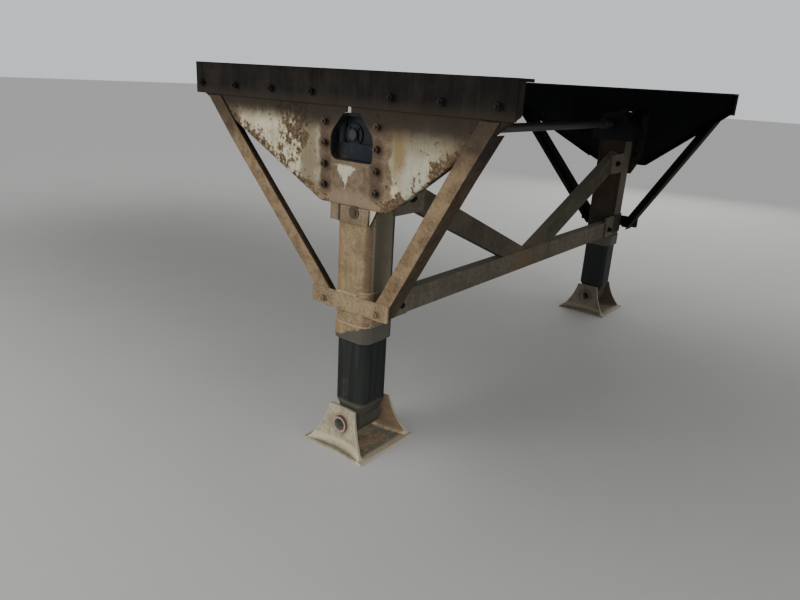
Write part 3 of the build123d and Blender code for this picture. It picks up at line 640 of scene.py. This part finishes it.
# Lower brackets
# A flat bar welded across each tube takes the feet of the two side braces, one bolt at each end,
# and a strap holds the tube's front corner.
bracket_rust = dusty_rust("bracket_rust", (0.345, 0.256, 0.146), (0.255, 0.180, 0.100), DARK_RUST)
dress(both("lower_bracket"), bracket_rust)

dusty_bolts = rusty_bolts("dusty_bolts", (0.175, 0.125, 0.075), (0.34, 0.255, 0.155), 0.45)
BRACKET_BOLTS = [-0.107, 0.115]
BRACKET_BOLT_LEVEL = -0.700
BRACKET_SEAMS = (-0.665, -0.720)
BRACKET_SEAM_ENDS = (-TUBE_HALF + 0.014, TUBE_FLAT - 0.004)
STRAP_RIMS = (-0.653, -0.745)
for side, sign in SIDES.items():
    face = outer_face(side + "_lower_bracket", sign)
    bolts = bmesh.new()
    for x in BRACKET_BOLTS:
        place = Vector((x, face, BRACKET_BOLT_LEVEL))
        hex_bolt(bolts, place, (0, sign, 0), head=0.011, stub=0.005, washer=0.026)
    new_piece(side + "_bracket_bolts", bolts, dusty_bolts, "frame")
    beads = bmesh.new()
    seam_face = sign * (LEG_AXIS + TUBE_HALF + PROUD)
    for number, z in enumerate(BRACKET_SEAMS):
        weld_bead(beads, [(x, seam_face, z) for x in BRACKET_SEAM_ENDS], 0.0048, 5 + number)
    for number, z in enumerate(STRAP_RIMS):
        rim = [(TUBE_FLAT, seam_face, z)]
        for k in range(1, 7):
            angle = math.pi / 2 - math.pi / 2 * k / 6
            x = TUBE_FLAT + (TUBE_CORNER + PROUD) * math.cos(angle)
            y = TUBE_FLAT + (TUBE_CORNER + PROUD) * math.sin(angle)
            rim.append((x, sign * (LEG_AXIS + y), z))
        rim.append((TUBE_HALF + PROUD, sign * (LEG_AXIS - TUBE_FLAT), z))
        weld_bead(beads, rim, 0.0045, 7 + number)
    new_piece(side + "_bracket_welds", beads, weld_rust, "frame", smooth=True)


# Side braces
# Two angle-section braces run from each bracket up to the wing plate, one forward and one back.
# Their flanges follow the lower edge, and rust has pitted them all over. Their heads are darker.
def brace_rust():
    """Pitted rust, darker at the head, with painted shade on faces that look inboard or forward."""
    finish = Finish("brace_rust", specular=0.15)
    z = finish.along("z")
    fine = finish.noise(130, detail=5, roughness=0.72)
    cloud = finish.noise(22, detail=5, shift=2.0)
    colour = finish.blend(finish.step(cloud, 0.38, 0.62), (0.300, 0.216, 0.124), (0.215, 0.145, 0.082))
    colour = finish.mottled(colour, (0.115, 0.075, 0.042), 0.4)
    pits = finish.step(fine * 0.7 + cloud * 0.3, 0.535, 0.61)
    colour = finish.blend(pits * 0.7, colour, (0.105, 0.065, 0.040))
    pale = finish.step(finish.noise(60, detail=5, shift=9.0), 0.58, 0.70)
    colour = finish.blend(pale * 0.4, colour, (0.42, 0.33, 0.20))
    head = finish.step(z + (cloud - 0.5) * 0.10, -0.300, -0.150)
    colour = finish.blend(head * 0.85, colour, (0.045, 0.033, 0.025))
    # Painted shade, with some road dirt, on faces that look inboard or forward, and on the left leg.
    colour = finish.painted_shade_and_dirt(colour, 0.92, 0.80, 0.95)
    return finish.done(colour, 0.84 + fine * 0.12, fine * 0.8 + pale * 0.2, 0.0012)


dress(both("front_brace", "rear_brace"), brace_rust())


# Cross bar, diagonals and clips
# Channel sections tie the two legs together, a level bar and two diagonals that meet on its middle.
# Clip plates join them to the tubes, each with a bolt. They are dark with dirt, with some rust, and the
# diagonals are darker still with painted shade.
def dirty_channel(name, dark, light):
    """Channel dark with dirt, rustier in the middle, with dust lying on top."""
    finish = Finish(name, specular=0.12)
    y = finish.along("y")
    fine = finish.noise(110, detail=5, roughness=0.7)
    cloud = finish.noise(9, detail=5, shift=2.0)
    colour = finish.blend(finish.step(cloud, 0.35, 0.65), dark, light)
    rust = finish.step(fine * 0.55 + cloud * 0.45, 0.55, 0.62)
    colour = finish.blend(rust * 0.55, colour, (0.09, 0.062, 0.040))
    middle = finish.step(abs(y + 0.02) + (cloud - 0.5) * 0.2, 0.16, 0.05)
    colour = finish.blend(middle * 0.45, colour, (0.15, 0.090, 0.052))
    colour = finish.mottled(colour, (0.050, 0.042, 0.030), 0.4, 60)
    colour = finish.lying_dust(colour, (0.22, 0.205, 0.150))
    return finish.done(colour, 0.74 + fine * 0.2, fine + cloud * 0.3, 0.0008)


channel_dirt = dirty_channel("dirty_channel", (0.090, 0.082, 0.060), (0.130, 0.117, 0.085))
dress(["cross_bar", *both("upper_clip", "lower_clip")], channel_dirt)
# The diagonals take a darker copy of the channel finish: painted shade.
painted_shade_channel = dirty_channel("painted_shade_channel", (0.052, 0.046, 0.034), (0.085, 0.075, 0.055))
dress(both("diagonal"), painted_shade_channel)

BAR_TOP = -0.682
BAR_FOOT = -0.762
BAR_END_SEAM = (0.024, 0.048)
WEB_FRONT = 0.060
WEB_SEAM = (0.002, 0.205)
# Distance inboard of the leg's axis, and level.
CLIP_BOLTS = [(0.128, -0.371), (0.100, -0.721)]
# Foot and head of each clip's seam.
CLIP_SEAMS = [(-0.418, -0.325), (-0.755, -0.662)]
for side, sign in SIDES.items():
    bolts = bmesh.new()
    beads = bmesh.new()
    for inboard, z in CLIP_BOLTS:
        place = Vector((TUBE_HALF, sign * (LEG_AXIS - inboard), z))
        hex_bolt(bolts, place, (1, 0, 0), across_flats=0.021, stub=0.005, washer=0.028)
    for number, levels in enumerate(CLIP_SEAMS):
        y = sign * (LEG_AXIS - TUBE_FLAT)
        weld_bead(beads, [(TUBE_HALF, y, z) for z in levels], 0.0032, 7 + number)
    tube_side = sign * (LEG_AXIS - TUBE_HALF)
    for number, z in enumerate((BAR_TOP, BAR_FOOT)):
        weld_bead(beads, [(x, tube_side, z) for x in BAR_END_SEAM], 0.0035, 9 + number)
    seam = [(WEB_FRONT, sign * y, BAR_TOP) for y in WEB_SEAM]
    weld_bead(beads, seam, 0.0032, 11)
    new_piece(side + "_clip_bolts", bolts, black_bolts, "frame")
    new_piece(side + "_bracing_welds", beads, channel_dirt, "frame", smooth=True)


# Inner tubes
# The inner tube slides in the outer one. It is painted satin black, streaked where it has run in
# and out, and grey with dust at its foot.
def satin_black():
    """Black paint streaked up and down, dusty at the foot."""
    finish = Finish("satin_black", specular=0.18)
    z = finish.along("z")
    runs = finish.noise(1, stretch=(34, 34, 2.0), detail=5, roughness=0.65)
    fine = finish.noise(150, detail=4)
    cloud = finish.noise(20, detail=4)
    dusty = finish.step(z + (cloud - 0.5) * 0.02, -1.034, -1.048)
    colour = finish.blend(finish.step(runs, 0.40, 0.70), (0.014, 0.016, 0.015), (0.034, 0.036, 0.030))
    streaks = finish.step(runs * 0.6 + cloud * 0.4, 0.55, 0.64)
    colour = finish.blend(streaks * 0.45, colour, (0.080, 0.078, 0.056))
    colour = finish.blend(dusty * (0.50 + fine * 0.45), colour, (0.100, 0.092, 0.068))
    # Painted shade, with some road dirt, on faces that look inboard or forward.
    colour = finish.painted_shade_and_dirt(colour, 0.85, 0.30)
    return finish.done(colour, 0.50 + runs * 0.15 + dusty * 0.30, fine * 0.3 + dusty * 0.3, 0.0004)


tube_black = satin_black()
dress(both("inner_tube"), tube_black)

# Level, half size along x, half size along y and corner radius, from the tube down to the pin.
FOOT_LEVELS = [
    (-1.0455, 0.0634, 0.0634, 0.027),
    (-1.0510, 0.0622, 0.0630, 0.028),
    (-1.0570, 0.0598, 0.0620, 0.030),
    (-1.0640, 0.0562, 0.0604, 0.031),
    (-1.0720, 0.0525, 0.0580, 0.030),
    (-1.0800, 0.0490, 0.0550, 0.026),
    (-1.0880, 0.0462, 0.0522, 0.018),
]
for side, sign in SIDES.items():
    foot = bmesh.new()
    rings = []
    for z, half_x, half_y, corner in FOOT_LEVELS:
        ring = []
        for k in range(4):
            quarter = math.pi / 2 * k
            way = (math.copysign(1, math.cos(quarter + 0.1)), math.copysign(1, math.sin(quarter + 0.1)))
            for j in range(7):
                angle = quarter + math.pi / 12 * j
                x = way[0] * (half_x - corner) + corner * math.cos(angle)
                y = way[1] * (half_y - corner) + corner * math.sin(angle)
                ring.append((x, sign * LEG_AXIS + y, z))
        rings.append(ring)
    loops(foot, rings)
    new_piece(side + "_tube_foot", foot, tube_black, side + "_leg", smooth=True)


# Shoe pins
# A short length of pipe passes through the tube's foot and the shoe's ears. Its outer face is
# reddish brown, and its cut ends are worn pale.
PIN_LOW, PIN_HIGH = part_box("right_shoe_pin")
PIN_LEVEL = (PIN_LOW.z + PIN_HIGH.z) / 2


def pipe_brown():
    """Reddish brown pipe, pale in its bore and on its cut ends."""
    finish = Finish("pipe_brown", specular=0.25)
    fine = finish.noise(140, detail=5)
    colour = finish.blend(fine, (0.105, 0.052, 0.040), (0.25, 0.145, 0.115))
    x, up = finish.along("x"), finish.along("z") - PIN_LEVEL
    bore = finish.step(x * x + up * up, 0.00050, 0.00048)
    colour = finish.blend(bore * 0.85, colour, finish.blend(fine, (0.20, 0.19, 0.15), (0.42, 0.40, 0.33)))
    cut_end = finish.step(abs(finish.along("y", finish.facing)), 0.75, 0.95)
    colour = finish.blend(cut_end * 0.8, colour, finish.blend(fine, (0.26, 0.18, 0.14), (0.50, 0.42, 0.35)))
    # Painted shade, with some road dirt, on faces that look inboard.
    colour = finish.painted_shade_and_dirt(colour, 0.72, 0.0)
    return finish.done(colour, 0.6 + fine * 0.3, fine, 0.0006)


dress(both("shoe_pin"), pipe_brown())


# Sand shoes
# The shoes are pressed from plate and rock on the pins. They are tan with dried mud, sandy along
# the lip, and rusty orange inside the ears. Painted highlights run along the lip's ridge, the ears'
# front edges and the front lip, and painted shade darkens faces that look inboard.
def dried_mud():
    """Dried mud on steel, sandy low down with painted highlights, rusty at the pin's eye and orange inside
    the ears, with painted shade inboard.
    """
    finish = Finish("dried_mud", specular=0.2)
    x, y, z = finish.along("x"), finish.along("y"), finish.along("z")
    aside = abs(abs(y) - LEG_AXIS)
    fine = finish.noise(150, detail=5, roughness=0.7)
    cloud = finish.noise(17, detail=5, shift=4.0)
    colour = finish.blend(finish.step(cloud, 0.35, 0.65), (0.290, 0.255, 0.172), (0.470, 0.415, 0.290))
    colour = finish.mottled(colour, (0.170, 0.138, 0.085), 0.45, 60)
    specks = finish.step(fine * 0.7 + cloud * 0.3, 0.54, 0.64)
    colour = finish.blend(specks * 0.5, colour, (0.140, 0.110, 0.070))
    grains = finish.step(finish.noise(330, detail=3, shift=3.0), 0.60, 0.70)
    colour = finish.blend(grains * 0.4, colour, (0.50, 0.45, 0.34))
    streaks = finish.noise(1, stretch=(14, 60, 60), detail=5, shift=2.0)
    outboard = finish.along("y", finish.facing) * y
    inside = finish.step(outboard * (abs(y) - LEG_AXIS), -0.010, -0.035)
    orange = finish.blend(finish.step(streaks, 0.38, 0.62), (0.28, 0.170, 0.082), (0.17, 0.138, 0.095))
    colour = finish.blend(inside * 0.9, colour, orange)
    rusty_eye = finish.step(abs(x) + abs(z - PIN_LEVEL) + (cloud - 0.5) * 0.03, 0.060, 0.035)
    rusty_eye = rusty_eye * (1.0 - inside)
    colour = finish.blend(rusty_eye * 0.5, colour, (0.27, 0.15, 0.075))
    # Sand along the lip, with a painted highlight on the ridge where the ear meets it.
    sand_and_ridge_highlight = finish.step(z + (cloud - 0.5) * 0.02, -1.160, -1.174) * finish.step(z, -1.1895, -1.186)
    sand_and_ridge_highlight = sand_and_ridge_highlight * (1.0 - inside)
    colour = finish.blend(sand_and_ridge_highlight * 0.7, colour, finish.blend(fine, (0.46, 0.39, 0.26), (0.74, 0.65, 0.46)))
    # A painted highlight along the ears' front edges.
    flank = 0.0552 + (-1.055 - z) * 0.475 + (z + 1.1275) * (z + 1.1275) * 2.3 - 0.012
    flank_highlight = finish.step(abs(x) - flank + (fine - 0.5) * 0.004, -0.007, -0.001) * (1.0 - inside)
    colour = finish.blend(flank_highlight * 0.45, colour, (0.52, 0.46, 0.34))
    floor = finish.step(z, -1.180, -1.188) * finish.step(aside, 0.112, 0.100)
    patches = finish.step(finish.noise(22, detail=4, shift=7.0), 0.42, 0.58)
    dirt = finish.blend(patches, (0.27, 0.275, 0.190), (0.50, 0.340, 0.215))
    colour = finish.blend(floor * 0.9, colour, finish.mottled(dirt, (0.090, 0.075, 0.050), 0.5, 70))
    # The front of the lip is scraped pale, with a painted highlight.
    front_lip = finish.step(x, 0.098, 0.112) * finish.step(z, -1.180, -1.188)
    scraped_and_highlight = finish.blend(fine, (0.50, 0.42, 0.29), (0.78, 0.69, 0.52))
    colour = finish.blend(front_lip * 0.8, colour, scraped_and_highlight)
    # Painted shade on faces that look inboard.
    colour = finish.blend(finish.step(outboard, 0.30, -0.30) * 0.75, colour, (0.030, 0.029, 0.025))
    return finish.done(colour, 0.84 + fine * 0.12, fine + cloud * 0.6, 0.0016)


dress(both("sand_shoe"), dried_mud())


# Shafts and crank
# The cross shaft turns both gearboxes, and the crank on the left leg turns it. The shafts are dull
# grey steel with a sleeve and a cross bolt at each end. The crank is worn black with a steel grip.
def dull_steel(name, dark, light, rust_share, metallic=0.4):
    """Dull bare steel with rust in spots. A larger rust_share spreads them."""
    finish = Finish(name, metallic=metallic, specular=0.4)
    fine = finish.noise(110, detail=5)
    cloud = finish.noise(14, detail=4, shift=2.0)
    colour = finish.blend(fine * 0.6 + cloud * 0.4, dark, light)
    rust = finish.step(fine * 0.5 + cloud * 0.5, 0.66 - rust_share, 0.76 - rust_share)
    colour = finish.blend(rust * 0.8, colour, (0.11, 0.062, 0.036))
    return finish.done(colour, 0.50 + rust * 0.35, fine * 0.4 + rust * 0.6, 0.0006)


shaft_steel = dull_steel("dull_grey_shaft", (0.014, 0.015, 0.015), (0.036, 0.036, 0.033), 0.06, 0.1)
crank_black = dull_steel("worn_black_crank", (0.016, 0.016, 0.017), (0.06, 0.058, 0.055), 0.10)
dress(["cross_shaft", "input_shaft"], shaft_steel)
dress(["crank_arm"], crank_black)
dress(["crank_grip"], dull_steel("bare_grip", (0.20, 0.195, 0.18), (0.42, 0.41, 0.39), 0.06, 0.7))


def sleeve(shape, x, z, profile):
    """Adds a ring about a line along y to shape. profile is a closed table of y and radius."""
    sides = 40
    rows = []
    for k in range(sides):
        angle = 2 * math.pi * k / sides
        forward, up = math.cos(angle), math.sin(angle)
        rows.append([shape.verts.new((x + r * forward, y, z + r * up)) for y, r in profile])
    for row, following in zip(rows, rows[1:] + rows[:1]):
        for j in range(len(profile)):
            after = (j + 1) % len(profile)
            shape.faces.new((row[j], row[after], following[after], following[j]))


def collar_profile(start, end, bore, radius, soft=0.002):
    """A ring's section: its bore, two end faces and the outside, with softened corners."""
    way = math.copysign(soft, end - start)
    outside = [(start, radius - soft), (start + way, radius), (end - way, radius), (end, radius - soft)]
    return [(start, bore), *outside, (end, bore)]


CROSS_SHAFT_RADIUS = 0.018
SLEEVE_RADIUS = 0.0235
SLEEVE_INBOARD = 0.094
SLEEVE_LENGTH = 0.075
SLEEVE_BOLT_SEAT = 0.0225
# Share of the sleeve's length at which each bolt stands.
SLEEVE_BOLTS = (0.3, 0.7)
for side, sign in SIDES.items():
    start = sign * (LEG_AXIS - SLEEVE_INBOARD)
    end = start - sign * SLEEVE_LENGTH
    ring = bmesh.new()
    sleeve(ring, SHAFT_X, SHAFT_Z, collar_profile(start, end, CROSS_SHAFT_RADIUS - 0.0005, SLEEVE_RADIUS))
    for part in SLEEVE_BOLTS:
        place = Vector((SHAFT_X + SLEEVE_BOLT_SEAT, start + (end - start) * part, SHAFT_Z))
        hex_bolt(ring, place, (1, 0, 0), across_flats=0.013, head=0.007, stub=0.003, washer=0.015)
    new_piece(side + "_shaft_sleeve", ring, shaft_steel, "cross_shaft")

HUB_HALF_LENGTH = 0.013
HUB_SEAT = 0.0205
hub_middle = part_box("crank_arm")[0].y + HUB_HALF_LENGTH
hub_pin = bmesh.new()
place = Vector((SHAFT_X, hub_middle, SHAFT_Z + HUB_SEAT))
hex_bolt(hub_pin, place, (0, 0, 1), across_flats=0.013, head=0.007, stub=0.003, washer=0.016)
new_piece("crank_hub_bolt", hub_pin, crank_black, "crank")

WASHER_GAP = 0.0005
WASHER_THICKNESS = 0.003
WASHER_BORE = 0.0098
WASHER_RADIUS = 0.0145
washer = bmesh.new()
grip_low, grip_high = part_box("crank_grip")
grip_x = (grip_low.x + grip_high.x) / 2
start = grip_high.y + WASHER_GAP
profile = collar_profile(start, start + WASHER_THICKNESS, WASHER_BORE, WASHER_RADIUS, soft=0.0008)
sleeve(washer, grip_x, SHAFT_Z, profile)
new_piece("grip_washer", washer, shaft_steel, "crank")


# Floor, light and camera
# A grey floor that stays under the shoes, as the ground does when the legs lift their load. Soft
# light from the outboard side, a flag that keeps light off the legs, and the photograph's viewpoint.
GROUND = -1.2
FLOOR_REACH = 40
floor_shape = bmesh.new()
bmesh.ops.create_grid(floor_shape, x_segments=1, y_segments=1, size=FLOOR_REACH)
pale = Finish("pale_floor", specular=0.2)
cloud = pale.noise(2.5, detail=3)
grey = pale.blend(cloud, (0.50, 0.49, 0.46), (0.54, 0.53, 0.50))
floor = new_object("studio_floor", floor_shape, pale.done(grey, 0.85 + cloud * 0.1, cloud, 0.0005))
floor.location.z = GROUND
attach(floor, "right_leg")

world = bpy.data.worlds.new("studio")
world.use_nodes = True
sky = world.node_tree.nodes["Background"]
sky.inputs["Color"].default_value = (0.86, 0.88, 0.92, 1)
sky.inputs["Strength"].default_value = 0.85
bpy.context.scene.world = world

FLAG_LEVEL = 0.06
FLAG_THICKNESS = 0.02
FLAG_HALF_WIDTH = 1.24
FLAG_REAR = -4.0
FLAG_FRONT = 2.2
flag_shape = bmesh.new()
corners = [(FLAG_REAR, -1), (FLAG_FRONT, -1), (FLAG_FRONT, 1), (FLAG_REAR, 1)]
levels = (FLAG_LEVEL, FLAG_LEVEL + FLAG_THICKNESS)
loops(flag_shape, [[(x, way * FLAG_HALF_WIDTH, level) for x, way in corners] for level in levels])
black = Finish("flag_black", specular=0.05)
felt = black.noise(3)
cloth = black.blend(felt, (0.02, 0.02, 0.02), (0.03, 0.03, 0.03))
flag = new_object("studio_flag", flag_shape, black.done(cloth, felt, felt, 0.0001))
flag.visible_camera = False


def hang(name, lamp, place, target):
    """Puts a lamp in its place and turns it to its target."""
    lamp_object = bpy.data.objects.new(name, lamp)
    lamp_object.location = place
    aim = Vector(target) - Vector(place)
    lamp_object.rotation_euler = aim.to_track_quat("-Z", "Y").to_euler()
    bpy.context.scene.collection.objects.link(lamp_object)


# Name, place, target, width in metres and power in watts.
LAMPS = [
    ("key", (-1.9, -4.6, 0.7), (0.0, -1.0, -0.7), 2.6, 80),
    ("front", (4.2, -1.6, -0.3), (0.0, -0.8, -1.0), 1.8, 44),
    ("behind", (-1.0, 5.5, 1.2), (0.0, 0.0, -0.6), 3.0, 60),
]
for name, place, target, size, power in LAMPS:
    lamp = bpy.data.lights.new(name, "AREA")
    lamp.size = size
    lamp.energy = power
    hang(name, lamp, place, target)

SPOT_POWER = 62
SPOT_DEGREES = 17
SPOT_RADIUS = 0.25
spot = bpy.data.lights.new("shoe_spot", "SPOT")
spot.energy = SPOT_POWER
spot.spot_size = math.radians(SPOT_DEGREES)
spot.spot_blend = 1.0
spot.shadow_soft_size = SPOT_RADIUS
hang("shoe_spot", spot, (1.25, -2.45, 0.15), (0.05, -0.98, -1.10))

CAMERA_PLACE = (1.307, -2.5053, -0.0148)
CAMERA_TURN = 0.6553
CAMERA_DIP = 0.3277
CAMERA_ROLL = 0.0585
FOCAL_PIXELS = 652.93
PHOTO_WIDTH = 800
camera = bpy.data.cameras.new("camera")
camera.sensor_width = 36.0
camera.lens = camera.sensor_width * FOCAL_PIXELS / PHOTO_WIDTH
camera_object = bpy.data.objects.new("camera", camera)
camera_object.matrix_world = (
    Matrix.Translation(CAMERA_PLACE)
    @ Matrix.Rotation(CAMERA_TURN, 4, "Z")
    @ Matrix.Rotation(math.pi / 2 - CAMERA_DIP, 4, "X")
    @ Matrix.Rotation(CAMERA_ROLL, 4, "Z")
)
bpy.context.scene.collection.objects.link(camera_object)
bpy.context.scene.camera = camera_object
